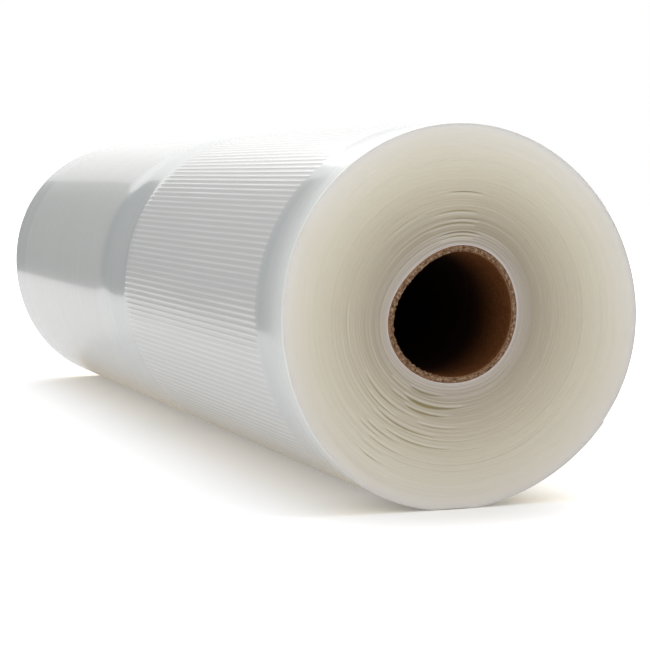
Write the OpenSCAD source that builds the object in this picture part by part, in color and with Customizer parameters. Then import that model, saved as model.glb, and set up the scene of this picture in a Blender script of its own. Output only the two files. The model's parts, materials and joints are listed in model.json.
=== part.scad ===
// Roll of clear embossed bag tubing, wound on a cardboard core.
// The roll lies on its side with its axis along +Y, and its underside is pressed flat at z = 0.
// The web is a flat tube with two lanes: one is embossed with ribs along the roll, one is smooth.
// The turns have slid a little along the core, so one end is dished and the other is proud.

/* [Roll] */
// Width of the film web, which is the length of the roll at its rim
web_w = 280; // [200:1:400]
// Outer radius of the wound film at the edge bands
roll_r = 40; // [32:0.5:60]
// Thickness of one turn: both plies of film and the air that the ribs hold
turn_t = 0.3; // [0.2:0.05:0.6]
// Height of the three soft lobes that slack winding leaves in the outline
lobe_h = 0.4; // [0:0.05:0.8]
// Depth of the soft flat spot that the roll lies on
flat_sag = 0.5; // [0.3:0.05:1]

/* [Film lanes] */
// Width of the plain edge band with the side seal, at each end
edge_band_w = 17; // [8:0.5:25]
// Width of the plain band between the ribbed and the smooth lane
mid_band_w = 26; // [10:0.5:40]
// How much smaller the roll is across the middle band
mid_band_drop = 0.15; // [0:0.05:0.3]
// How much smaller the roll is across the smooth lane, where no ribs part the turns
smooth_drop = 0.5; // [0.2:0.05:0.8]

/* [Ribs] */
// Number of ribs round the outer turn
rib_count = 180; // [120:2:220]
// Height of a rib above the film
rib_h = 0.25; // [0.1:0.05:0.4]
// Width of a rib at its foot
rib_w = 0.9; // [0.5:0.05:1]
// Width of a rib along its rounded top
rib_top_w = 0.4; // [0.1:0.05:0.45]

/* [Turn ends] */
// How far the innermost turn has slid in from the near rim
dish_depth = 5.5; // [0:0.5:10]
// Number of bundles of turns that can be told apart at each end
bundle_count = 10; // [6:1:14]
// How far every second bundle stands back from its neighbours
bundle_wander = 0.15; // [0:0.05:0.3]
// Width of the outermost bundle, which ends in one plane with the rim
rim_w = 2.5; // [1.5:0.5:4]
// How far the slack between turns can be seen into from an end
slack_depth = 6; // [2:0.5:12]

/* [Core] */
// Bore of the cardboard core, a 1 inch mandrel
core_bore_d = 25.4; // [20:0.1:40]
// Wall of the cardboard core
core_wall = 1.6; // [1:0.1:3]
// How far the near mouth is pressed out of round, on its radius
mouth_oval = 0.45; // [0:0.05:0.8]
// Length over which the core runs from its pressed mouth back to round
mouth_len = 14; // [5:1:40]

/* [Hidden] */
$fn = 96;

// The core is cut to the width of the web, and the innermost turn hugs it.
core_len = web_w;
core_r = core_bore_d / 2 + core_wall;
axis_h = roll_r - flat_sag;
whole_len = web_w + dish_depth;
lane_w = (web_w - 2 * edge_band_w - mid_band_w) / 2;
over = 2;

// Angles are taken from +X towards the floor, as seen from the near end.
tail_a = 35;
lobe_turn = 8;
lobe_corner_h = lobe_h * 0.45;
mouth_long_a = -38;
mouth_step_a = 7.5;
mouth_lip = 0.05;
flat_step_a = 4;

// Places of the bundles at the ends: the inner ones have slid the furthest.
bundle_w = (roll_r - rim_w - core_r) / bundle_count;
function bundle_r(i) = core_r + i * bundle_w;
function bundle_slide(i) = dish_depth * (1 - i / bundle_count) + (i % 2) * bundle_wander;

// Slack turns open as crescents where the flat tube's folded edges come round.
// Each is [share of the build out from the core, widest gap, half of the angle it spans].
slack_over_a = -92;
slack_over = [[0.10, 0.55, 15], [0.19, 0.35, 17], [0.28, 0.35, 12], [0.44, 0.25, 9]];
slack_under_a = 117;
slack_under = [
    [0.10, 0.60, 19], [0.18, 0.80, 17], [0.25, 0.45, 16], [0.32, 0.45, 24],
    [0.45, 0.40, 17], [0.53, 0.30, 16], [0.64, 0.20, 10]
];

// Radius of the last turn, which runs in by one thickness from its free edge right round.
function lobe(a) = lobe_h * cos(3 * a - lobe_turn) + lobe_corner_h * sin(4 * a);
function turn_r(a, r) = r + lobe(a) - turn_t * (a - tail_a) / 360;
function on_turn(a, r, lift = 0) = (turn_r(a, r) + lift) * [cos(a), sin(a)];

// Section of the roll where the film is plain.
module plain_section(r) {
    polygon([for (a = [tail_a : flat_step_a : tail_a + 360]) on_turn(a, r)]);
}

// Section of the roll across the ribs, with four points to a rib.
module ribbed_section(r) {
    pitch_a = 360 / rib_count;
    mm_a = 360 / (2 * PI * r);
    foot_a = rib_w * mm_a / 2;
    top_a = rib_top_w * mm_a / 2;
    polygon([
        for (i = [0 : rib_count - 1])
            let (a = tail_a + (i + 0.5) * pitch_a)
                each [
                    on_turn(a - foot_a, r),
                    on_turn(a - top_a, r, rib_h),
                    on_turn(a + top_a, r, rib_h),
                    on_turn(a + foot_a, r)
                ]
    ]);
}

// One stretch of the roll. Every stretch lies on the same floor, so a thinner one sits lower.
module lane(start, width, drop, ribbed = false) {
    translate([0, drop, start])
        linear_extrude(width)
            if (ribbed)
                ribbed_section(roll_r - drop);
            else
                plain_section(roll_r - drop);
}

// Stepped ends of the bundles as a solid of revolution, from "from" up to each bundle's slide.
module bundle_ends(from) {
    rotate_extrude()
        polygon([
            [0, from],
            [0, bundle_slide(0)],
            for (i = [0 : bundle_count - 1])
                each [
                    if (i > 0) [bundle_r(i), bundle_slide(i)],
                    [bundle_r(i + 1), bundle_slide(i)]
                ],
            [bundle_r(bundle_count), from]
        ]);
}

// Gap between two turns: what a shifted circle leaves of a centred one.
module crescent(r, gap, half_a) {
    shift = gap / (1 - cos(half_a));
    difference() {
        translate([shift, 0])
            circle(r + gap - shift);
        circle(r);
    }
}

module crescents(gaps, at_a) {
    build = roll_r - core_r;
    for (g = gaps)
        rotate(at_a)
            crescent(core_r + g[0] * build, g[1], g[2]);
}

module slack(start) {
    translate([0, 0, start])
        linear_extrude(slack_depth + dish_depth + over) {
            crescents(slack_over, slack_over_a);
            crescents(slack_under, slack_under_a);
        }
}

// Outline of the core with a given press at its mouth: a circle with two soft corners.
module core_outline(r, press) {
    polygon([
        for (a = [0 : mouth_step_a : 360 - mouth_step_a])
            (r + press * cos(2 * (a - mouth_long_a))) * [cos(a), sin(a)]
    ]);
}

// Blend from the pressed mouth to round, over the mouth's length.
module mouth_blend(r, round_r) {
    skin = 0.01;
    hull() {
        linear_extrude(skin)
            core_outline(r, mouth_oval);
        translate([0, 0, mouth_len - skin])
            linear_extrude(skin)
                core_outline(round_r, 0);
    }
}

// The core as if it were not hollow. The film's own bore is the same shape.
module core_blank(beyond = 0) {
    mouth_blend(core_r, core_r);
    translate([0, 0, mouth_len])
        linear_extrude(core_len - mouth_len + beyond)
            core_outline(core_r, 0);
    if (beyond > 0)
        translate([0, 0, -beyond])
            linear_extrude(beyond)
                core_outline(core_r, mouth_oval);
}

// The core's bore: a true cylinder, with a pressed mouth that ends a hair inside it.
module core_bore() {
    bore_r = core_bore_d / 2;
    translate([0, 0, mouth_len])
        cylinder(r = bore_r, h = core_len - mouth_len + over);
    mouth_blend(bore_r, bore_r - mouth_lip);
    translate([0, 0, -over])
        linear_extrude(over)
            core_outline(bore_r, mouth_oval);
}

// Stands the part's own length axis along +Y, with its middle over the origin.
module lie_down() {
    translate([0, -whole_len / 2, axis_h])
        rotate([-90, 0, 0])
            children();
}

module cardboard_core() {
    color([0.62, 0.50, 0.38])
        lie_down()
            translate([0, 0, dish_depth])
                difference() {
                    core_blank();
                    core_bore();
                }
}

module tubing_roll() {
    color([0.86, 0.86, 0.83])
        lie_down()
            difference() {
                union() {
                    lane(0, edge_band_w, 0);
                    lane(edge_band_w, lane_w, 0, ribbed = true);
                    lane(edge_band_w + lane_w, mid_band_w, mid_band_drop);
                    lane(edge_band_w + lane_w + mid_band_w, lane_w, smooth_drop);
                    lane(web_w - edge_band_w, edge_band_w, smooth_drop);
                    translate([0, 0, web_w])
                        bundle_ends(-over);
                }
                bundle_ends(-over);
                slack(-over);
                slack(web_w - slack_depth);
                translate([0, 0, dish_depth])
                    core_blank(over);
                translate([-roll_r, axis_h, -over])
                    cube([2 * roll_r, roll_r, whole_len + 2 * over]);
            }
}

cardboard_core();
tubing_roll();
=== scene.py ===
# %% [markdown]
# # A roll of embossed bag tubing
# The real thing is a long flat tube of clear film, wound some eighty times round a cardboard core.
# One half of its width is embossed with fine ribs, so that air can leave a bag through them.
# The other half is smooth, and plain bands run along both edges and down the middle.
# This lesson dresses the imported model: the frame stays as it is, and each visible piece is a
# mesh that stands where its solid stands.

# %% The frame
import json
import math
import random

import bmesh
import bpy
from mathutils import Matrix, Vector

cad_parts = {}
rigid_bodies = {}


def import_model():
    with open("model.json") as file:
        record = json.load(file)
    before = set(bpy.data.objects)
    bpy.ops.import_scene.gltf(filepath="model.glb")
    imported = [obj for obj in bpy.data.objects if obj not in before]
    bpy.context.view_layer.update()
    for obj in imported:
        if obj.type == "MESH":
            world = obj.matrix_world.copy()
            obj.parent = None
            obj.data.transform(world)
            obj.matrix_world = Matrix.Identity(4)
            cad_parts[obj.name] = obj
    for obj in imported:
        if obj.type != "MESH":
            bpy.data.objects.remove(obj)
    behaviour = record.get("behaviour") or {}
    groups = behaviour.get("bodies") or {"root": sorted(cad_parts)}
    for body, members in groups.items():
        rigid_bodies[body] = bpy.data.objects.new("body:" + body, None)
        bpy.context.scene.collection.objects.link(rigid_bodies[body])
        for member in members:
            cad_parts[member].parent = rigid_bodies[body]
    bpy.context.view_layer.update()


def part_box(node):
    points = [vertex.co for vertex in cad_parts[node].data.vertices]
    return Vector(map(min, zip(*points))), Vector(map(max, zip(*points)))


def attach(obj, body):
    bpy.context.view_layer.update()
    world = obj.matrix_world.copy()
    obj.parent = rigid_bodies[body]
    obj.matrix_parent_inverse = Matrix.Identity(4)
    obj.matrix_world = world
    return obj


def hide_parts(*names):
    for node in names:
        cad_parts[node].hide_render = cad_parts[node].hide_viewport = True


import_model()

# %% [markdown]
# ## Sizes
# Everything is worked out in millimetres from a few sizes of the real roll, and turned into
# metres where a point is made. The near rim is read from the frame, from the box of the roll's
# solid, and the other places follow from the sizes below.

# %% Driving sizes
MM = 0.001

# Width of the flat tube, radius of the rim and thickness of one turn
WEB = 280.0
ROLL_R = 40.0
TURN = 0.3
# Lobes and lesser corners of the slack outline, and depth of the flat spot
LOBE = 0.4
LOBE_TURN = math.radians(8.0)
CORNER = 0.18
FLAT = 0.5
# Free edge of the last turn. Angles run from +X towards the floor, seen from the near end
TAIL = math.radians(35.0)

# Plain bands, and how much thinner the roll is at the middle band and on the smooth lane
EDGE_BAND = 17.0
MID_BAND = 26.0
MID_DROP = 0.15
SMOOTH_DROP = 0.5

# Number of ribs round the roll, and their height
RIBS = 180
RIB_SOFT = 0.08

# How far the innermost turn has slid, and the outer and inner radius of the core
SLIDE = 5.5
CORE_R = 14.3
BORE_R = 12.7

LANE = (WEB - 2 * EDGE_BAND - MID_BAND) / 2
RIBS_END = EDGE_BAND + LANE
SMOOTH_START = RIBS_END + MID_BAND
FAR_BAND = WEB - EDGE_BAND

roll_low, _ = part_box("tubing_roll")
NEAR_Y = roll_low[1] / MM
AXIS_Z = ROLL_R - FLAT
print(f"near rim at y = {NEAR_Y:.2f} mm, lanes {LANE:.0f} mm wide, axis {AXIS_Z:.1f} mm up")

# %% [markdown]
# ## The camera
# The photo was taken with a long lens, low down and close to the near end. A camera was fitted
# to the outlines of both ends, and its place is given here in millimetres beside the roll.

# %% Camera
CAMERA_MM = (-158.2, -491.8, 68.6)
PAN_DEG = 20.11
TILT_DEG = -4.58
SENSOR_MM = 36.0
LENS_MM = 103.6

camera_data = bpy.data.cameras.new("camera")
camera_data.sensor_width = SENSOR_MM
camera_data.lens = LENS_MM
camera_data.clip_start = 0.01
camera = bpy.data.objects.new("camera", camera_data)
camera.location = [c * MM for c in CAMERA_MM]
camera.rotation_euler = (math.radians(90 + TILT_DEG), 0, math.radians(-PAN_DEG))
bpy.context.scene.collection.objects.link(camera)
bpy.context.scene.camera = camera
print("camera", tuple(round(c, 4) for c in camera.location), "lens", LENS_MM)

# %% [markdown]
# ## Sums on sockets
# A node tree for a pattern is mostly arithmetic, and arithmetic reads best as arithmetic. The
# small class below wraps one socket. Adding or multiplying two wrapped sockets puts
# the Math node into the tree and wraps its result, so that a rule can be written as a line of
# Python. It serves materials and geometry alike, because both use the same Math node.

# %% A value that does sums
class Value:
    """A number that flows through a node tree."""

    def __init__(self, tree, socket):
        self.tree = tree
        self.socket = socket

    def math(self, operation, *others):
        return self.tree.sum(operation, self, *others)

    def __add__(self, other):
        return self.math("ADD", other)

    def __radd__(self, other):
        return self.tree.sum("ADD", other, self)

    def __sub__(self, other):
        return self.math("SUBTRACT", other)

    def __rsub__(self, other):
        return self.tree.sum("SUBTRACT", other, self)

    def __mul__(self, other):
        return self.math("MULTIPLY", other)

    def __rmul__(self, other):
        return self.tree.sum("MULTIPLY", other, self)

    def __truediv__(self, other):
        return self.math("DIVIDE", other)

    def __rtruediv__(self, other):
        return self.tree.sum("DIVIDE", other, self)

    def __pow__(self, other):
        return self.math("POWER", other)

    def __rpow__(self, other):
        return self.tree.sum("POWER", other, self)

    def sin(self):
        return self.math("SINE")

    def cos(self):
        return self.math("COSINE")

    def least(self, other):
        return self.math("MINIMUM", other)

    def most(self, other):
        return self.math("MAXIMUM", other)

    def clamp(self):
        return self.most(0.0).least(1.0)

    def ramp(self, start, end):
        """0 at start and 1 at end, with soft shoulders."""
        return self.tree.add(
            "ShaderNodeMapRange",
            {"interpolation_type": "SMOOTHSTEP"},
            {"Value": self, "From Min": start, "From Max": end},
            out="Result",
        )


class Tree:
    """A node tree with one way to add a node."""

    def __init__(self, nodes, links):
        self.nodes = nodes
        self.links = links

    def add(self, kind, settings=None, values=None, out=0):
        """Adds a node, sets its settings first and then its sockets, and returns one output."""
        node = self.nodes.new(kind)
        for name, setting in (settings or {}).items():
            if name == "stops":
                self.stops(node.color_ramp, setting)
            else:
                setattr(node, name, setting)
        for name, value in (values or {}).items():
            self.feed(self.socket(node.inputs, name), value)
        if out is None:
            return node
        return Value(self, self.socket(node.outputs, out))

    def sum(self, operation, *terms):
        return self.add("ShaderNodeMath", {"operation": operation}, dict(enumerate(terms)))

    def feed(self, socket, value):
        if isinstance(value, Value):
            self.links.new(value.socket, socket)
        else:
            socket.default_value = value

    @staticmethod
    def socket(sockets, name):
        if isinstance(name, int):
            return sockets[name]
        return next(s for s in sockets if s.name == name and s.enabled)

    @staticmethod
    def stops(ramp, wanted):
        while len(ramp.elements) < len(wanted):
            ramp.elements.new(1.0)
        for element, (place, colour) in zip(ramp.elements, wanted):
            element.position = place
            element.color = colour


print("sums are ready")

# %% [markdown]
# ## Turning a profile by rule
# The wound film is nearly a lathe form, but its section is not a circle: the last turn runs in
# by one thickness, slack winding has left three soft lobes, and ribs stand on one lane. A
# Screw or Spin would give a perfect circle only. So a grid is laid out by Geometry Nodes, with
# one column for each step round the roll and one row for each point of a profile, and a rule
# puts every point in its place.

# %% Profiles
def profile_object(name, points, **marks):
    """A string of points (radius, distance along the roll), with marks that the rules read."""
    mesh = bpy.data.meshes.new(name)
    mesh.from_pydata([(r * MM, s * MM, 0.0) for r, s in points], [], [])
    for mark, values in marks.items():
        layer = mesh.attributes.new(mark, "FLOAT", "POINT")
        layer.data.foreach_set("value", values)
    return bpy.data.objects.new(name, mesh)


def between(start, end, steps):
    """Evenly spaced numbers after start, up to and with end."""
    return [start + (end - start) * i / steps for i in range(1, steps + 1)]


print("four even steps from 0 to 10:", between(0.0, 10.0, 4))


# %% A rule that turns a profile
class Rule(Tree):
    """A Geometry Nodes tree that turns a profile, with named inputs for its sizes."""

    def __init__(self, name, **inputs):
        self.group = bpy.data.node_groups.new(name, "GeometryNodeTree")
        super().__init__(self.group.nodes, self.group.links)
        face = self.group.interface
        face.new_socket(name="Geometry", in_out="INPUT", socket_type="NodeSocketGeometry")
        face.new_socket(name="Geometry", in_out="OUTPUT", socket_type="NodeSocketGeometry")
        self.ids = {}
        for label, value in inputs.items():
            kind = "NodeSocketInt" if isinstance(value, int) else "NodeSocketFloat"
            socket = face.new_socket(name=label, in_out="INPUT", socket_type=kind)
            self.ids[label] = (socket.identifier, value)
        self.source = self.nodes.new("NodeGroupInput")
        self.profile = self.given("Geometry")

    def given(self, label):
        return Value(self, self.socket(self.source.outputs, label))

    def finish(self, geometry):
        sink = self.nodes.new("NodeGroupOutput")
        self.links.new(geometry.socket, sink.inputs[0])

    def run(self, profile, name):
        """Evaluates the rule on a profile and returns a plain mesh object."""
        bpy.context.scene.collection.objects.link(profile)
        modifier = profile.modifiers.new("rule", "NODES")
        modifier.node_group = self.group
        for identifier, value in self.ids.values():
            modifier[identifier] = value
        graph = bpy.context.evaluated_depsgraph_get()
        mesh = bpy.data.meshes.new_from_object(profile.evaluated_get(graph))
        profile.modifiers.remove(modifier)
        bpy.data.objects.remove(profile)
        piece = bpy.data.objects.new(name, mesh)
        bpy.context.scene.collection.objects.link(piece)
        outward(mesh)
        print(name, "has", triangle_count(mesh), "triangles")
        return piece


def triangle_count(mesh):
    return sum(len(p.vertices) - 2 for p in mesh.polygons)


def outward(mesh):
    """Points every face outwards, and says so if an edge is left open."""
    solid = bmesh.new()
    solid.from_mesh(mesh)
    bmesh.ops.recalc_face_normals(solid, faces=solid.faces)
    if solid.calc_volume(signed=True) < 0:
        bmesh.ops.reverse_faces(solid, faces=solid.faces)
    open_edges = sum(1 for e in solid.edges if not e.is_manifold)
    if open_edges:
        print(mesh.name, "has", open_edges, "open edges")
    solid.to_mesh(mesh)
    solid.free()


print("a rule leaves a plain mesh with its faces outwards")


# %% A grid of columns and rows
def lay_grid(rule, columns, rows):
    """The bare grid, the share of the way round, and the profile's row under each point."""
    grid = rule.add(
        "GeometryNodeMeshGrid", {},
        {"Size X": 1.0, "Size Y": 1.0, "Vertices X": columns, "Vertices Y": rows}, out="Mesh",
    )
    place = rule.add("GeometryNodeInputPosition")
    apart = rule.add("ShaderNodeSeparateXYZ", {}, {"Vector": place}, out=None)
    round_share = Value(rule, apart.outputs["X"]) + 0.5
    row = ((Value(rule, apart.outputs["Y"]) + 0.5) * (rows - 1)).math("ROUND")
    return grid, round_share, row


def on_profile(rule, row, mark=None):
    """What the profile says at a row: its point, or one of its marks."""
    if mark is None:
        value = rule.add("GeometryNodeInputPosition")
        kind = "FLOAT_VECTOR"
    else:
        value = rule.add(
            "GeometryNodeInputNamedAttribute", {"data_type": "FLOAT"}, {"Name": mark}, "Attribute"
        )
        kind = "FLOAT"
    return rule.add(
        "GeometryNodeSampleIndex", {"data_type": kind, "domain": "POINT", "clamp": True},
        {"Geometry": rule.profile, "Value": value, "Index": row}, out="Value",
    )


def profile_place(rule, row):
    """The profile's radius and its distance along the roll at a row, in millimetres."""
    here = rule.add("ShaderNodeSeparateXYZ", {}, {"Vector": on_profile(rule, row)}, out=None)
    return Value(rule, here.outputs["X"]) / MM, Value(rule, here.outputs["Y"]) / MM


print("a grid can read its profile")


# %% Marks, seam and materials
SEAM_GAP = 2e-6


def noise(tree, where, scale, detail=2.0, rough=0.5):
    """Smooth random numbers around 0.5. The pattern is fixed by where it is read."""
    return tree.add(
        "ShaderNodeTexNoise", {"noise_dimensions": "3D"},
        {"Vector": where, "Scale": scale, "Detail": detail, "Roughness": rough}, out=0,
    )


def point(tree, x, y, z):
    return tree.add("ShaderNodeCombineXYZ", {}, {"X": x, "Y": y, "Z": z})


def place_and_close(rule, grid, x, y, z, marks, material_slots, sharp_deg=35.0):
    """Keeps marks for the shaders, moves the grid's points, closes the seam and sets materials.

    The marks are stored first: they are sums on the bare grid, and its points move afterwards.
    """
    shaped = grid
    for mark, value in marks.items():
        shaped = rule.add(
            "GeometryNodeStoreNamedAttribute", {"data_type": "FLOAT", "domain": "POINT"},
            {"Geometry": shaped, "Name": mark, "Value": value}, out="Geometry",
        )
    shaped = rule.add(
        "GeometryNodeSetPosition", {}, {"Geometry": shaped, "Position": point(rule, x, y, z)}
    )
    shaped = rule.add(
        "GeometryNodeMergeByDistance", {}, {"Geometry": shaped, "Distance": SEAM_GAP}
    )
    angle = rule.add("GeometryNodeInputMeshEdgeAngle", out="Unsigned Angle")
    creased = rule.add(
        "FunctionNodeCompare", {"data_type": "FLOAT", "operation": "GREATER_THAN"},
        {"A": angle, "B": math.radians(sharp_deg)}, out="Result",
    )
    shaped = rule.add(
        "GeometryNodeStoreNamedAttribute", {"data_type": "BOOLEAN", "domain": "EDGE"},
        {"Geometry": shaped, "Name": "sharp_edge", "Value": creased}, out="Geometry",
    )
    shaped = rule.add("GeometryNodeSetShadeSmooth", {}, {"Geometry": shaped, "Shade Smooth": True})
    shaped = rule.add("GeometryNodeRealizeInstances", {}, {"Geometry": shaped})
    for material, selection in material_slots:
        values = {"Geometry": shaped, "Material": material}
        if selection is not None:
            values["Selection"] = selection
        shaped = rule.add("GeometryNodeSetMaterial", {}, values)
    rule.finish(shaped)


print("rules can turn a profile")

# %% [markdown]
# ## Film in the mass
# One ply of this film is clear. Eighty turns are milky, because light is scattered at every
# pair of surfaces with air between them, and what comes out of the cut ends is cream. A clear
# glass-like shader would need eighty real layers. A pale scattering body with a clear coat over
# it gives the same look, and it stays right from every side.

# %% Colours
def srgb(red, green, blue):
    """A colour read from a picture, as the linear values that shaders use."""
    def linear(c):
        c /= 255
        return c / 12.92 if c <= 0.04045 else ((c + 0.055) / 1.055) ** 2.4
    return (linear(red), linear(green), linear(blue), 1.0)


def new_material(name):
    material = bpy.data.materials.new(name)
    material.use_nodes = True
    material.node_tree.nodes.clear()
    tree = Tree(material.node_tree.nodes, material.node_tree.links)
    return material, tree


def surface(tree, shader_values):
    """A Principled surface, wired to the output."""
    shader = tree.add("ShaderNodeBsdfPrincipled", {}, shader_values, out="BSDF")
    tree.add("ShaderNodeOutputMaterial", {}, {"Surface": shader}, out=None)


def object_place(tree):
    """Object coordinates in millimetres: the point, and its three parts."""
    here = tree.add("ShaderNodeTexCoord", out="Object")
    scaled = tree.add(
        "ShaderNodeVectorMath", {"operation": "SCALE"}, {0: here, "Scale": 1 / MM}, out=0
    )
    parts = tree.add("ShaderNodeSeparateXYZ", {}, {"Vector": scaled}, out=None)
    return [scaled] + [Value(tree, parts.outputs[axis]) for axis in "XYZ"]


def mix(tree, share, first, second):
    return tree.add(
        "ShaderNodeMix", {"data_type": "RGBA", "blend_type": "MIX"},
        {"Factor": share, "A": first, "B": second}, out="Result",
    )


def bump(tree, height, distance_mm, strength=1.0):
    return tree.add(
        "ShaderNodeBump", {},
        {"Height": height, "Distance": distance_mm * MM, "Strength": strength},
    )


def mark(tree, name):
    return tree.add("ShaderNodeAttribute", {"attribute_name": name}, {}, out="Fac")


def stretched(tree, here, round_scale, along_scale):
    """The place with its own scales round the roll and along it, for streaks in the film."""
    scales = (round_scale, along_scale, round_scale)
    return tree.add("ShaderNodeVectorMath", {"operation": "MULTIPLY"}, {0: here, 1: scales}, out=0)


print("mid grey 128 of 255 is", round(srgb(128, 128, 128)[0], 3), "in linear light")

# %% Film on the outside of the roll
LANE_SOFT = 0.8


def film_side_material():
    """Clear coat over pale film: ribs with painted highlights on their crests, a rougher near rim
    with painted glow and painted light at its very edge, and a slack top on the smooth lane.
    """
    material, tree = new_material("clear_film_side")
    here, _, y, z = object_place(tree)
    s = y - NEAR_Y
    ridge = mark(tree, "ridge")
    in_lane = s.ramp(EDGE_BAND - LANE_SOFT, EDGE_BAND + LANE_SOFT)
    ribbed = in_lane * (1 - s.ramp(RIBS_END - LANE_SOFT, RIBS_END + LANE_SOFT))
    far_band = s.ramp(FAR_BAND - 2.0, FAR_BAND + 3.0)
    smooth = s.ramp(SMOOTH_START - 1.0, SMOOTH_START + 8.0) * (1 - far_band * 0.5)
    cloud = noise(tree, here, 0.05, 3.0)
    streak = noise(tree, stretched(tree, here, 0.02, 0.7), 1.0, 2.0)
    ripple = noise(tree, here, 0.09, 2.0)
    # Near the near rim the film is rougher and less glossy; its paler colour is a painted glow of
    # light coming through the rim.
    rough_rim_and_glow = 1 - (s + (streak - 0.5) * 4.0).ramp(-3.0, 14.0)
    slack = smooth * z.ramp(54.0, 74.0)
    colour = mix(tree, cloud, srgb(181, 185, 185), srgb(190, 192, 191))
    colour = mix(tree, ribbed, colour, srgb(195, 195, 194))
    colour = mix(tree, smooth, colour, srgb(194, 195, 193))
    colour = mix(tree, streak.ramp(0.35, 0.75) * 0.2 * (1 - ribbed), colour, srgb(214, 215, 214))
    # Painted highlight: the rib crests are made paler where the ribs catch light.
    colour = mix(tree, ridge * 0.55, colour, srgb(226, 227, 225))
    # Painted glow along the near rim.
    colour = mix(tree, rough_rim_and_glow * 0.8, colour, srgb(224, 226, 223))
    # Painted light: the first millimetre from the near rim is painted near white, as light through
    # the cut edge.
    colour = mix(tree, (1 - s.ramp(0.1, 1.2)) * 0.6, colour, srgb(242, 239, 232))
    surface(tree, {
        "Base Color": colour,
        "Roughness": 0.18 + ribbed * 0.08 + slack * 0.1 + rough_rim_and_glow * 0.2,
        "IOR": 1.5,
        "Subsurface Weight": 0.25,
        "Subsurface Radius": (1.0, 1.0, 0.9),
        "Subsurface Scale": 0.002,
        "Coat Weight": (0.5 - ribbed * 0.2 - smooth * 0.15) * (1 - rough_rim_and_glow) * (1 - slack * 0.3),
        "Coat Roughness": 0.07,
        "Coat IOR": 1.5,
        "Normal": bump(tree, ripple, 0.05, 0.6),
    })
    return material


film_side = film_side_material()
print("film outside:", film_side.name, "with", len(film_side.node_tree.nodes), "nodes")


# %% Film at the cut ends
def film_end_material():
    """Cream with painted shade towards the core and painted light towards the rim, with lines along
    the turns and painted shade in the gaps.
    """
    material, tree = new_material("milky_film_end")
    here, x, _, z = object_place(tree)
    build = mark(tree, "build")
    turn = mark(tree, "turn")
    gap = mark(tree, "gap")
    lip = mark(tree, "lip")
    # The cream darkens towards the core as painted shade of the dished face, and pales towards the
    # rim as painted light coming in through the outer turns.
    cream = tree.add("ShaderNodeValToRGB", {"stops": [
        (0.0, srgb(224, 220, 217)),
        (0.004, srgb(208, 202, 197)),
        (0.014, srgb(176, 167, 159)),
        (0.14, srgb(160, 150, 132)),
        (0.35, srgb(184, 175, 155)),
        (0.56, srgb(203, 196, 176)),
        (0.76, srgb(217, 212, 196)),
        (0.90, srgb(223, 219, 208)),
        (0.97, srgb(230, 226, 218)),
        (0.985, srgb(236, 232, 224)),
        (1.0, srgb(246, 242, 234)),
    ]}, {"Fac": build}, out="Color")
    across = point(tree, turn * 0.9, x * 0.012, z * 0.012)
    band = noise(tree, across, 1.0, 3.0, 0.6)
    broad = noise(tree, here, 0.03, 2.0)
    slack = mark(tree, "slack")
    inner = 1 - build.ramp(0.15, 0.6)
    dark_lines = band.ramp(0.48, 0.75) * (0.03 + inner * 0.12 + slack * 0.5)
    pale_lines = (1 - band).ramp(0.48, 0.75) * (0.02 + inner * 0.1 + slack * 0.5)
    colour = mix(tree, broad.ramp(0.35, 0.7) * 0.2, cream, srgb(210, 202, 182))
    colour = mix(tree, dark_lines, colour, srgb(150, 139, 110))
    colour = mix(tree, pale_lines, colour, srgb(222, 218, 206))
    # Painted shade: the end face is darker towards the bottom, and lighter at the top where light
    # from above comes through the film.
    colour = mix(tree, (1 - z.ramp(0.0, 80.0)) * 0.25, colour, srgb(173, 160, 146))
    # Painted shade: the end face is a little darker towards its right side.
    colour = mix(tree, x.ramp(-10.0, 45.0) * 0.04, colour, srgb(180, 166, 152))
    # Painted highlight on the lip beside each crescent.
    colour = mix(tree, lip * 0.38, colour, srgb(218, 213, 200))
    # Painted shade in the crescent gaps between turns.
    colour = mix(tree, gap * 0.9, colour, srgb(136, 122, 72))
    grain = noise(tree, here, 3.0, 2.0)
    surface(tree, {
        "Base Color": colour,
        "Roughness": 0.42 + band * 0.15,
        "IOR": 1.5,
        "Subsurface Weight": 0.5,
        "Subsurface Radius": (1.0, 0.95, 0.7),
        "Subsurface Scale": 0.003,
        "Normal": bump(tree, band + grain * 0.2, 0.05, 0.5),
    })
    return material


film_end = film_end_material()
print("film at the ends:", film_end.name, "with", len(film_end.node_tree.nodes), "nodes")

# %% [markdown]
# ## The outer turn
# The outside of the roll is one closed tube that the eye reads as film: a rim at each end, the
# plain bands, the ribbed lane and the smooth lane. Its profile has rows only where something
# changes, and the rule adds the ribs as a ridge that repeats round the roll. Ribs rise over
# three millimetres of length at both sides of their lane, as they do from an embossing roller.

# %% Profile of the outer turn
PLUG_R = 38.8
PLUG_DEEP = 8.0
BAND_SLOPE = 0.12
RIM_ROUND = 0.16
RIB_RUN_OUT = 3.0
MID_RUN = 7.0
SMOOTH_RUN = 20.0
FAR_ROUND = 0.15


def soft_step(s, middle, run):
    """0 before a change in the roll and 1 after it, without a kink at either side."""
    share = min(1.0, max(0.0, (s - middle) / run + 0.5))
    return share * share * (3 - 2 * share)


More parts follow.
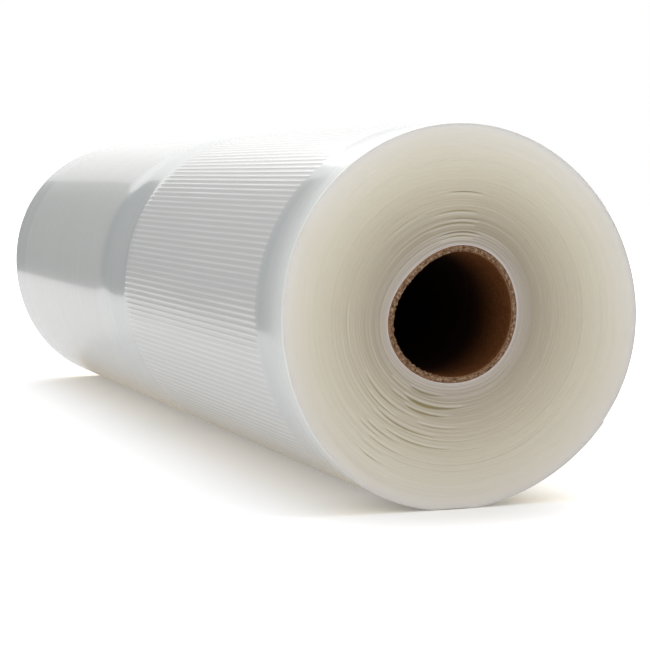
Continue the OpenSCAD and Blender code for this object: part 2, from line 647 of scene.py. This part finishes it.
def shell_profile():
    """Rows (radius, distance, rib height share, drop of the lane, share of end face)."""
    rows = []

    def row(r, s, rib=0.0, drop=0.0, end=0.0):
        rows.append((r, s, rib, drop, end))

    row(CORE_R + 1.0, PLUG_DEEP + 0.05, end=1.0)
    row(PLUG_R, PLUG_DEEP + 0.05, end=1.0)
    row(PLUG_R, 0.8, end=1.0)
    low = ROLL_R - BAND_SLOPE
    row(low - RIM_ROUND - 0.1, 0.2, end=1.0)
    row(low - RIM_ROUND, 0.002, end=1.0)
    for turn in (30, 60, 90):
        a = math.radians(turn)
        row(low - RIM_ROUND * (1 - math.sin(a)), RIM_ROUND * (1 - math.cos(a)))
    row(low + 0.002, RIM_ROUND + 0.12)
    for s in between(RIM_ROUND + 0.12, EDGE_BAND - RIB_RUN_OUT / 2 - 0.4, 7):
        row(low + BAND_SLOPE * min(1.0, s / 12.0) ** 0.7, s)
    for step in range(5):
        s = EDGE_BAND + (step / 4 - 0.5) * RIB_RUN_OUT
        row(ROLL_R, s, rib=soft_step(s, EDGE_BAND, RIB_RUN_OUT))
    for s in between(EDGE_BAND + RIB_RUN_OUT / 2, RIBS_END - RIB_RUN_OUT / 2, 28):
        row(ROLL_R, s, rib=1.0)
    for step in range(1, 5):
        s = RIBS_END + (step / 4 - 0.5) * RIB_RUN_OUT
        rib = 1 - soft_step(s, RIBS_END, RIB_RUN_OUT)
        row(ROLL_R, s, rib=rib, drop=MID_DROP * soft_step(s, RIBS_END, MID_RUN))
    for s in between(RIBS_END + RIB_RUN_OUT / 2, RIBS_END + MID_RUN / 2, 2):
        row(ROLL_R, s, drop=MID_DROP * soft_step(s, RIBS_END, MID_RUN))
    first, last = SMOOTH_START - SMOOTH_RUN / 2, SMOOTH_START + SMOOTH_RUN / 2
    for s in between(RIBS_END + MID_RUN / 2, first, 2):
        row(ROLL_R, s, drop=MID_DROP)
    for s in between(first, last, 7):
        fall = (SMOOTH_DROP - MID_DROP) * soft_step(s, SMOOTH_START, SMOOTH_RUN)
        row(ROLL_R, s, drop=MID_DROP + fall)
    for s in between(last, WEB - FAR_ROUND - 0.12, 7) + [WEB - FAR_ROUND]:
        row(ROLL_R, s, drop=SMOOTH_DROP)
    for turn in (45, 90):
        a = math.radians(turn)
        row(ROLL_R - FAR_ROUND * (1 - math.cos(a)), WEB - FAR_ROUND * (1 - math.sin(a)),
            drop=SMOOTH_DROP)
    row(ROLL_R - FAR_ROUND - 0.03, WEB, drop=SMOOTH_DROP, end=1.0)
    row(PLUG_R, WEB - 0.12, drop=SMOOTH_DROP, end=1.0)
    row(PLUG_R, WEB - PLUG_DEEP - 0.05, drop=SMOOTH_DROP, end=1.0)
    row(CORE_R + 1.0, WEB - PLUG_DEEP - 0.05, end=1.0)
    rows.append(rows[0])
    return rows


shell_rows = shell_profile()
print("the outer turn has", len(shell_rows), "rows from rim to rim")


# %% Outline of the roll
def lobes(angle):
    """How far slack winding has pushed the outline out, in millimetres, at an angle."""
    return (angle * 3 - LOBE_TURN).cos() * LOBE + (angle * 4).sin() * CORNER


def waves(rule, s, angle):
    """Broad shallow waves in the outer turn, in millimetres."""
    where = point(rule, angle.cos() * 1.2, s * 0.015, angle.sin() * 1.2)
    return (noise(rule, where, 1.0) - 0.5) * 0.08


def shell_rule(columns):
    rows = len(shell_rows)
    rule = Rule("outer turn", Columns=columns, Ribs=float(RIBS), Rib_height=RIB_SOFT, Turn=TURN)
    grid, share, row = lay_grid(rule, rule.given("Columns"), rows)
    steps = columns - 1
    way = (share * (steps / (steps - 1))).least(1.0)
    angle = way * math.tau + TAIL
    r, s = profile_place(rule, row)
    rib = on_profile(rule, row, "rib")
    drop = on_profile(rule, row, "drop")
    outer = on_profile(rule, row, "outer")
    at_step = share.math("LESS_THAN", 1 - 0.5 / steps)
    around = point(rule, angle.cos() * 4, s * 0.012, angle.sin() * 4)
    wander = noise(rule, around, 1.0, 2.0) - 0.5
    crest = (angle * rule.given("Ribs") + wander * 1.8).cos()
    ridge = crest.ramp(0.0, 1.0) * rib
    strength = (0.8 + (noise(rule, around, 2.3) - 0.5) * 1.2).clamp()
    run_in = rule.given("Turn") * way * at_step
    raised = ridge * strength * rule.given("Rib_height")
    soft = waves(rule, s, angle) * s.ramp(2.0, 20.0)
    grown = r - drop + outer * (lobes(angle) - run_in + raised + soft)
    x = grown * angle.cos() * MM
    z = ((AXIS_Z - drop - grown * angle.sin()) * MM).most(0.0)
    y = (s + NEAR_Y) * MM
    cut = on_profile(rule, row, "end")
    is_end = rule.add(
        "FunctionNodeCompare", {"data_type": "FLOAT", "operation": "GREATER_THAN"},
        {"A": rule.add("GeometryNodeInputNamedAttribute", {"data_type": "FLOAT"},
                       {"Name": "cut"}, "Attribute"), "B": 0.6}, out="Result",
    )
    place_and_close(
        rule, grid, x, y, z,
        {"cut": cut, "build": 0.985 + s * 0, "turn": r / TURN, "ridge": ridge * strength},
        [(film_side, None), (film_end, is_end)],
    )
    return rule


STEPS_PER_RIB = 7
shell_points = [(r, s) for r, s, rib, drop, end in shell_rows]
shell_marks = {
    "rib": [row[2] for row in shell_rows],
    "drop": [row[3] for row in shell_rows],
    "end": [row[4] for row in shell_rows],
    "outer": [1.0 if row[0] > PLUG_R - 0.2 else 0.0 for row in shell_rows],
}
outer_turn = shell_rule(RIBS * STEPS_PER_RIB + 1).run(
    profile_object("outer_turn_profile", shell_points, **shell_marks), "outer_turn"
)

# %% [markdown]
# ## The ends of the turns
# Seen from an end, every turn is a fine line. The turns have slid on the core, so the near end
# is dished and the far end stands out by the same amount. Round the core they follow its
# pressed mouth, and further out they settle to the roll's own outline. Where the folded edges
# of the tube come round, slack turns part and leave thin crescents. One rule makes both ends:
# a row for each turn's edge and groove, and the crescents as a sum that is written once and
# added for each of them.

# %% Rows of the turn ends
TURN_GROOVE = 0.06
END_SEED = 11


def end_profile(outward_sign, turns, outer_r):
    """Rows from the core out, three to a turn, then back along the hidden side."""
    chance = random.Random(END_SEED)
    points, build, hidden = [], [], []

    def row(r, s, share, back=0.0):
        points.append((r, s))
        build.append(share)
        hidden.append(back)

    back = PLUG_DEEP
    step = (outer_r - CORE_R) / turns
    row(CORE_R, back, 0.0, 1.0)
    row(CORE_R, SLIDE + 0.8, 0.0, 1.0)
    shift = 0.0
    for turn in range(turns):
        share = turn / turns
        shift = 0.72 * shift + chance.uniform(-0.05, 0.05)
        if chance.random() < 0.12:
            shift += chance.uniform(-0.16, 0.16)
        s = SLIDE * (1 - share) + shift * (0.35 + 0.65 * (1 - share)) * min(1.0, (1 - share) * 4)
        r = CORE_R + turn * step
        groove = TURN_GROOVE * min(1.0, (1 - share) * 8)
        row(r + 0.02 * step, s + groove * outward_sign, share)
        row(r + 0.35 * step, s, share + 0.35 / turns)
        row(r + 0.80 * step, s + groove * 0.3 * outward_sign, share + 0.8 / turns)
    row(outer_r, 0.002, 1.0)
    row(outer_r, back, 1.0, 1.0)
    points.append(points[0])
    build.append(build[0])
    hidden.append(1.0)
    return points, {"share": build, "hidden": hidden}


# %% Crescents and outline at an end
OVER = math.radians(-92.0)
UNDER = math.radians(112.0)
CRESCENTS = [
    (16.2, 0.34, 13, -90), (17.0, 0.42, 15, -88), (19.0, 0.30, 15, -94),
    (20.0, 0.18, 10, -86), (21.6, 0.30, 12, -92), (25.6, 0.25, 9, -88),
    (17.0, 0.50, 13, 110), (19.3, 0.78, 19, 104), (21.1, 0.45, 14, 107),
    (22.6, 0.38, 20, 130), (23.5, 0.18, 12, 99), (25.4, 0.42, 16, 116),
    (24.4, 0.13, 10, 133), (26.4, 0.18, 9, 127), (27.6, 0.32, 16, 108),
    (28.8, 0.20, 9, 125), (29.8, 0.13, 7, 130), (30.8, 0.18, 8, 122),
    (32.4, 0.13, 6, 126), (34.2, 0.10, 6, 124), (18.2, 0.16, 9, 130),
    (20.2, 0.16, 8, 126), (24.5, 0.08, 16, 174), (22.8, 0.10, 16, -126),
]
CRESCENT_DEEP = 0.22
EDGE_SOFT = 0.3
LIP = 0.35
LONGER = 1.2
SKEW = 0.8


def crescents(r, angle):
    """1 inside a crescent between two turns, and 1 on the lit lip beside it."""
    opening, lip = None, None
    for centre_r, gap, half_deg, at_deg in CRESCENTS:
        off_middle = angle - math.radians(at_deg)
        half = math.radians(half_deg * LONGER)
        shut = math.cos(half)
        lean = off_middle.sin() * (SKEW / math.sin(half)) + 1.0
        wide = ((off_middle.cos() - shut) / (1 - shut)).most(0.0) * lean * gap * 0.8
        off = r - centre_r - wide * 0.5
        there = (wide * 12).clamp()
        inside = ((wide * 0.5 - off.math("ABSOLUTE")) / EDGE_SOFT + 0.35).clamp() * there
        beside = 1 - ((off + wide * 0.5 + LIP).math("ABSOLUTE") / LIP).clamp()
        opening = inside if opening is None else opening.most(inside)
        lip = beside * there if lip is None else lip.most(beside * there)
    return opening, lip


MOUTH_ASIDE = 0.30
MOUTH_OVAL = 0.59
MOUTH_CORNER = 0.35
MOUTH_WIDER = 0.15


def mouth(angle):
    """How far the pressed mouth stands out of round, in millimetres."""
    aside = (angle - math.radians(3.0)).cos() * MOUTH_ASIDE
    oval = (angle * 2 + math.radians(76.0)).cos() * MOUTH_OVAL
    return aside + oval + (angle * 3 - math.radians(144.0)).cos() * MOUTH_CORNER + MOUTH_WIDER


def end_rule(name, columns, rows, start_s, facing, pressed, drop):
    """facing is 1 at the near end and -1 at the far end, where the slide stands out."""
    rule = Rule(name, Columns=columns, Pressed=pressed, Crescent_depth=CRESCENT_DEEP)
    grid, way, row = lay_grid(rule, rule.given("Columns"), rows)
    angle = way * math.tau
    r, s = profile_place(rule, row)
    share = on_profile(rule, row, "share")
    hidden = on_profile(rule, row, "hidden")
    front = 1 - hidden
    opening, lip = crescents(r, angle)
    opening = opening * front
    over = ((angle - OVER).cos() - 0.5).most(0.0) * 2 * (1 - share.ramp(0.2, 0.5))
    under = ((angle - UNDER).cos() - 0.3).most(0.0) * 1.4 * (1 - share.ramp(0.55, 0.9))
    bundled = ((angle - math.radians(128.0)).cos() - 0.93).most(0.0) * 9 * share.ramp(0.35, 0.6)
    slack = over.most(under).most(bundled * (1 - share.ramp(0.86, 0.97))).least(1.0)
    around = point(rule, angle.cos() * 1.6, share * 26, angle.sin() * 1.6)
    wander = (noise(rule, around, 1.0, 3.0) - 0.5) * 0.16 * front * (1 - share).least(0.25) * 4
    sunk = s + wander + opening * rule.given("Crescent_depth") * facing
    near_core = (1 - share) ** 2.0
    turned = ((angle - TAIL) / math.tau).math("FRACT")
    outline = lobes(angle) * share ** 3.0 - turned * TURN * share ** 12.0
    grown = r - drop * share + mouth(angle) * near_core * rule.given("Pressed") + outline
    x = grown * angle.cos() * MM
    z = (AXIS_Z - drop * share - grown * angle.sin()).most(0.02) * MM
    y = ((sunk + start_s).least(WEB + SLIDE - 0.01) + NEAR_Y) * MM
    place_and_close(
        rule, grid, x, y, z,
        {"build": share, "turn": r / TURN, "gap": opening, "lip": lip, "slack": slack},
        [(film_end, None)], sharp_deg=75.0,
    )
    return rule


NEAR_TURNS = 80
near_points, near_marks = end_profile(1, NEAR_TURNS, ROLL_R - BAND_SLOPE - RIM_ROUND)
near_ends = end_rule("near turn ends", 361, len(near_points), 0.0, 1, 1.0, 0.0).run(
    profile_object("near_profile", near_points, **near_marks), "near_turn_ends"
)

# %% The far end
FAR_TURNS = 60


def far_profile():
    """The near profile turned about: the slide stands out, and the hidden side lies inside."""
    points, marks = end_profile(-1, FAR_TURNS, ROLL_R - FAR_ROUND)
    flipped = []
    for (r, s), back in zip(points, marks["hidden"]):
        flipped.append((r, -PLUG_DEEP if back else s))
    return flipped, marks


far_points, far_marks = far_profile()
print("near end reaches", round(near_points[-2][0], 2), "mm, far end", round(far_points[-2][0], 2))
far_ends = end_rule("far turn ends", 241, len(far_points), WEB, -1, 0.0, SMOOTH_DROP).run(
    profile_object("far_profile", far_points, **far_marks), "far_turn_ends"
)

# %% [markdown]
# ## The cardboard core
# The core is wound from strips of grey-brown board, so its wall shows plies at the cut and a
# spiral joint inside. Its near mouth has been pressed out of round and its inner edge is
# frayed by the saw. It is turned by rule as well, and its inner edge is frayed by noise.

# %% Cardboard
def cardboard_material():
    material, tree = new_material("core_cardboard")
    here, x, y, z = object_place(tree)
    height = z - AXIS_Z
    radius = (x * x + height * height).math("SQRT")
    turn = height.math("ARCTAN2", x) / math.tau
    fibre = noise(tree, here, 1.6, 6.0, 0.75)
    speck = noise(tree, here, 1.5, 5.0, 0.8)
    cut = mark(tree, "cut")
    ply = (radius * 14.0 + fibre * 5.0).sin() * 0.5 + 0.5
    lead = y / 46.0 + turn
    joint = (lead.math("FRACT") - 0.5).math("ABSOLUTE")
    seam = 1 - joint.ramp(0.0, 0.02)
    wall = mix(tree, fibre.ramp(0.3, 0.72), srgb(98, 54, 22), srgb(130, 80, 40))
    # Painted shade: the wall inside the core darkens with depth from the near mouth.
    painted_depth_shade = (y - NEAR_Y).ramp(SLIDE - 4.0, SLIDE + 20.0)
    wall = mix(tree, painted_depth_shade * 0.94, wall, srgb(28, 12, 4))
    wall = mix(tree, seam * 0.25, wall, srgb(64, 38, 20))
    edge = mix(tree, ply * 0.2 + fibre * 0.6, srgb(92, 66, 46), srgb(160, 129, 101))
    edge = mix(tree, speck.ramp(0.50, 0.60) * 0.9, edge, srgb(66, 44, 30))
    edge = mix(tree, (1 - speck).ramp(0.52, 0.66) * 0.6, edge, srgb(206, 180, 156))
    lip = cut.ramp(0.0, 0.2) * (1 - cut.ramp(0.6, 0.95))
    edge = mix(tree, lip * 0.7, edge, srgb(186, 134, 92))
    colour = mix(tree, cut.ramp(0.0, 0.3), wall, edge)
    relief = fibre * 0.8 + speck * cut * 0.8 + ply * cut * 0.3 - seam * 0.4
    surface(tree, {
        "Base Color": colour,
        "Roughness": 0.86 + fibre * 0.1,
        "Specular IOR Level": 0.15,
        "Normal": bump(tree, relief, 0.2, 0.8),
    })
    return material


cardboard = cardboard_material()
CORE_END = SLIDE + WEB - 0.05


def core_profile():
    """Rows (radius, distance, cut face, frayed share) round the wall of the core."""
    rows = [(CORE_R - 0.12, SLIDE + 0.1, 0.6, 0.0), (CORE_R - 0.3, SLIDE, 1.0, 0.1)]
    for i in range(1, 6):
        rows.append((CORE_R - 0.3 - (CORE_R - BORE_R - 0.55) * i / 5, SLIDE, 1.0, 0.15 * i))
    rows.append((BORE_R + 0.1, SLIDE + 0.08, 1.0, 1.0))
    rows.append((BORE_R, SLIDE + 0.3, 0.6, 1.0))
    rows.append((BORE_R, SLIDE + 0.8, 0.1, 0.5))
    for s in between(SLIDE + 0.8, SLIDE + 16.0, 8) + between(SLIDE + 16.0, CORE_END - 0.5, 20):
        rows.append((BORE_R, s, 0.0, 0.0))
    rows.append((BORE_R + 0.15, CORE_END, 1.0, 0.1))
    rows.append((CORE_R - 0.15, CORE_END, 1.0, 0.1))
    rows.append((CORE_R, CORE_END - 0.3, 0.3, 0.0))
    for s in between(CORE_END - 0.3, SLIDE + 14.0, 6) + between(SLIDE + 14.0, SLIDE + 0.4, 6):
        rows.append((CORE_R, s, 0.0, 0.0))
    rows.append(rows[0])
    return rows


def core_rule(columns, rows):
    rule = Rule("cardboard core", Columns=columns, Pressed=1.0, Fray=0.45)
    grid, way, row = lay_grid(rule, rule.given("Columns"), rows)
    angle = way * math.tau
    r, s = profile_place(rule, row)
    frayed = on_profile(rule, row, "frayed")
    to_round = 1 - (s - SLIDE).ramp(0.0, 14.0)
    torn = noise(rule, point(rule, angle.cos() * 19, s * 0.9, angle.sin() * 19), 1.0, 5.0, 0.8)
    left = 0.25 + (angle - math.radians(165.0)).cos().most(0.0) * 0.75
    fray = (torn - 0.45).most(-0.12) * frayed * left * rule.given("Fray") * 4.5
    worn = 0.30 + (angle - math.radians(20.0)).cos().most(0.0) * 0.35
    inside = (CORE_R - r) / (CORE_R - BORE_R)
    grown = r - fray + (mouth(angle) * rule.given("Pressed") + worn * inside) * to_round
    x = grown * angle.cos() * MM
    z = (AXIS_Z - grown * angle.sin()) * MM
    y = (s + fray * 0.3 + NEAR_Y) * MM
    place_and_close(
        rule, grid, x, y, z, {"cut": on_profile(rule, row, "cut")}, [(cardboard, None)],
        sharp_deg=60.0,
    )
    return rule


core_rows = core_profile()
core = core_rule(721, len(core_rows)).run(
    profile_object(
        "core_profile", [(row[0], row[1]) for row in core_rows],
        cut=[row[2] for row in core_rows], frayed=[row[3] for row in core_rows],
    ),
    "wound_core",
)

# %% [markdown]
# ## Who stands for what
# Each new piece rides on the one body of this row and stands for the solid whose place it has
# taken, which is hidden.

# %% Pieces on the frame
for piece in (outer_turn, near_ends, far_ends):
    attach(piece, "root")
    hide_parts("tubing_roll")
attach(core, "root")
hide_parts("cardboard_core")
print("three pieces stand for the film, and one for the core")

# %% [markdown]
# ## The studio
# The floor is a plain pale sheet, white to the camera and an even grey to rays that the film
# mirrors. The world is even and white, with one large soft light above. What gives the film its
# edge is a dark card that stands along the left side, out of the picture: the clear bands mirror
# it, and the camera and the light pass it by.

# %% Floor
def floor_material():
    """White further out, with painted warm light under the roll and a painted shadow just in front
    of it.
    """
    material, tree = new_material("white_floor")
    _, x, y, _ = object_place(tree)
    beyond = x.math("ABSOLUTE").most(y.math("ABSOLUTE") - 140).ramp(60.0, 700.0)
    # Painted warm light: the floor under the roll is tinted warm, for light passing through the
    # film, and mirrored rays see it too.
    under = 1 - x.math("ABSOLUTE").most((y.math("ABSOLUTE") - 135).most(0.0) * 4).ramp(8.0, 42.0)
    # Painted shadow: the floor's glow is lowered just in front of the near rim.
    off_rim = (y + 146).math("ABSOLUTE")
    painted_shadow_in_front = (1 - x.math("ABSOLUTE").ramp(4.0, 42.0)) * (1 - off_rim.ramp(3.0, 26.0))
    path = tree.add("ShaderNodeLightPath", out=None)
    mirrored = Value(tree, path.outputs["Is Glossy Ray"])
    glow = Value(tree, path.outputs["Is Camera Ray"]) * (0.6 + beyond * 0.4 - painted_shadow_in_front * 0.3)
    glow = glow.most(mirrored * 0.9)
    sheet = mix(tree, under, (0.78, 0.78, 0.78, 1.0), (0.90, 0.80, 0.64, 1.0))
    shine = mix(tree, under * mirrored, (1.0, 1.0, 1.0, 1.0), (1.0, 0.88, 0.70, 1.0))
    surface(tree, {
        "Base Color": mix(tree, mirrored * 0.6, sheet, (0.0, 0.0, 0.0, 1.0)),
        "Roughness": 0.6,
        "Specular IOR Level": 0.0,
        "Emission Color": mix(tree, glow, (0.0, 0.0, 0.0, 1.0), shine),
        "Emission Strength": 0.5,
    })
    return material


FLOOR_SIZE = 6.0
floor_mesh = bpy.data.meshes.new("floor")
corners = ((-1, -1), (1, -1), (1, 1), (-1, 1))
floor_mesh.from_pydata(
    [(x * FLOOR_SIZE / 2, y * FLOOR_SIZE / 2, -0.0001) for x, y in corners], [], [(0, 1, 2, 3)]
)
floor_mesh.materials.append(floor_material())
floor = bpy.data.objects.new("floor", floor_mesh)
bpy.context.scene.collection.objects.link(floor)

# %% Dark card
CARD_X = -0.125
CARD_GREY = 0.16


def card_material():
    material, tree = new_material("dark_card")
    glow = tree.add(
        "ShaderNodeEmission", {}, {"Color": (CARD_GREY, CARD_GREY * 1.05, CARD_GREY * 1.08, 1.0)}
    )
    tree.add("ShaderNodeOutputMaterial", {}, {"Surface": glow}, out=None)
    return material


card_mesh = bpy.data.meshes.new("dark_card")
card_mesh.from_pydata(
    [(CARD_X, -0.6, 0.0), (CARD_X, 9.0, 0.0), (CARD_X, 9.0, 5.0), (CARD_X, -0.6, 5.0)],
    [], [(0, 1, 2, 3)],
)
card_mesh.materials.append(card_material())
card = bpy.data.objects.new("dark_card", card_mesh)
bpy.context.scene.collection.objects.link(card)
for ray in ("camera", "diffuse", "transmission", "volume_scatter", "shadow"):
    setattr(card, "visible_" + ray, False)

# %% World and lamp
world = bpy.data.worlds.new("white_room")
world.use_nodes = True
world.node_tree.nodes.clear()
sky = Tree(world.node_tree.nodes, world.node_tree.links)
path = sky.add("ShaderNodeLightPath", out=None)
seen = Value(sky, path.outputs["Is Camera Ray"]).most(
    Value(sky, path.outputs["Is Glossy Ray"]).most(Value(sky, path.outputs["Is Transmission Ray"])))
AMBIENT = 0.88
room = mix(sky, seen, (AMBIENT, AMBIENT, AMBIENT, 1.0), (1.0, 1.0, 1.0, 1.0))
sky.add("ShaderNodeOutputWorld", {}, {
    "Surface": sky.add("ShaderNodeBackground", {}, {"Color": room, "Strength": 1.0}),
}, out=None)
bpy.context.scene.world = world

LAMP_POWER = 17.0
lamp_data = bpy.data.lights.new("soft_light", "AREA")
lamp_data.shape = "RECTANGLE"
lamp_data.size = 2.0
lamp_data.size_y = 1.6
lamp_data.energy = LAMP_POWER
lamp = bpy.data.objects.new("soft_light", lamp_data)
lamp.location = (0.35, 0.35, 1.0)
lamp.rotation_euler = (Vector((0, 0, 0)) - lamp.location).to_track_quat("-Z", "Y").to_euler()
bpy.context.scene.collection.objects.link(lamp)

bpy.context.scene.view_settings.view_transform = "Standard"
print("studio: ambient", AMBIENT, "lamp", LAMP_POWER, "W")
